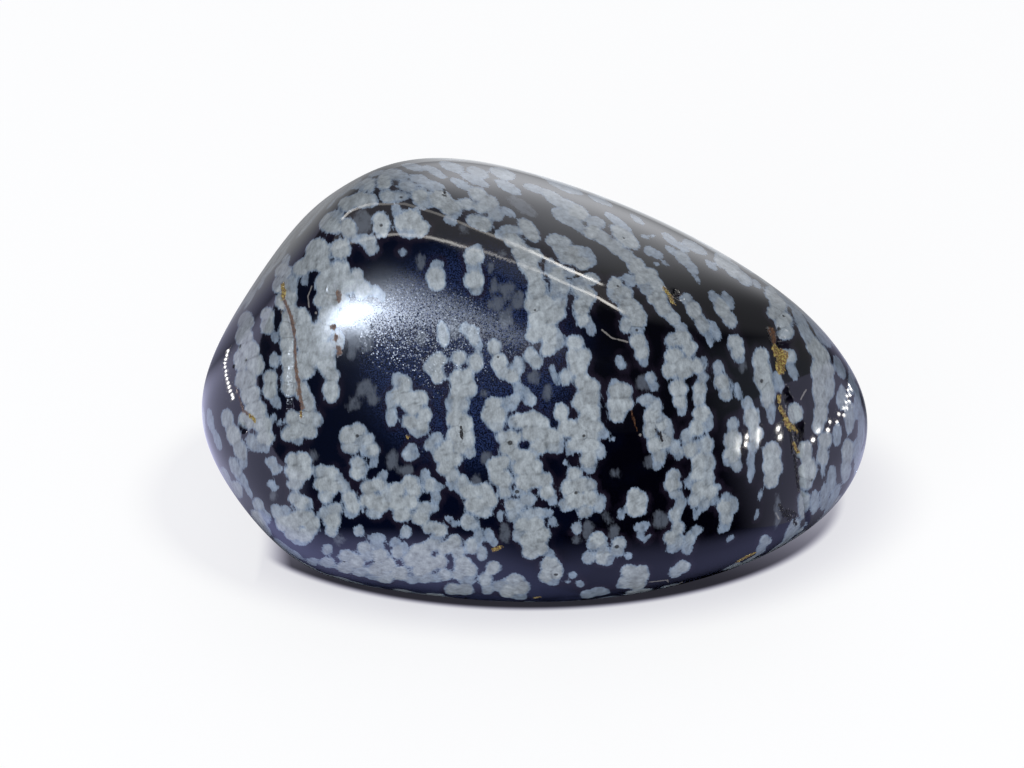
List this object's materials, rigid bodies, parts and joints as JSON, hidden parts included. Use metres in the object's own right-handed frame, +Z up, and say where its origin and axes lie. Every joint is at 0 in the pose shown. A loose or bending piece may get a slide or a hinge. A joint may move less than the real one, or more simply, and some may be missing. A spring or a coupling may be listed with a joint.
{
  "type": "snowflake obsidian tumbled stone",
  "caption": "Polished egg-shaped snowflake obsidian stone with a broad face, a sloping top, a tapering nose, a crack and small ochre pits, resting on a flat worn foot.",
  "frame": {"origin": "middle of the stone's box, on the surface that it rests on", "axes": "+Z up, +X along the stone towards its tapering nose, -Y the broad show face"},
  "size_m": [0.0458, 0.0318, 0.0304],
  "materials": {
    "polished_stone": "tumble-polished near-black volcanic glass with grey-blue cristobalite snowflakes, fine pits and an ochre-stained crack"
  },
  "bodies": {
    "root": {"stone": "polished_stone"}
  },
  "joints": []
}
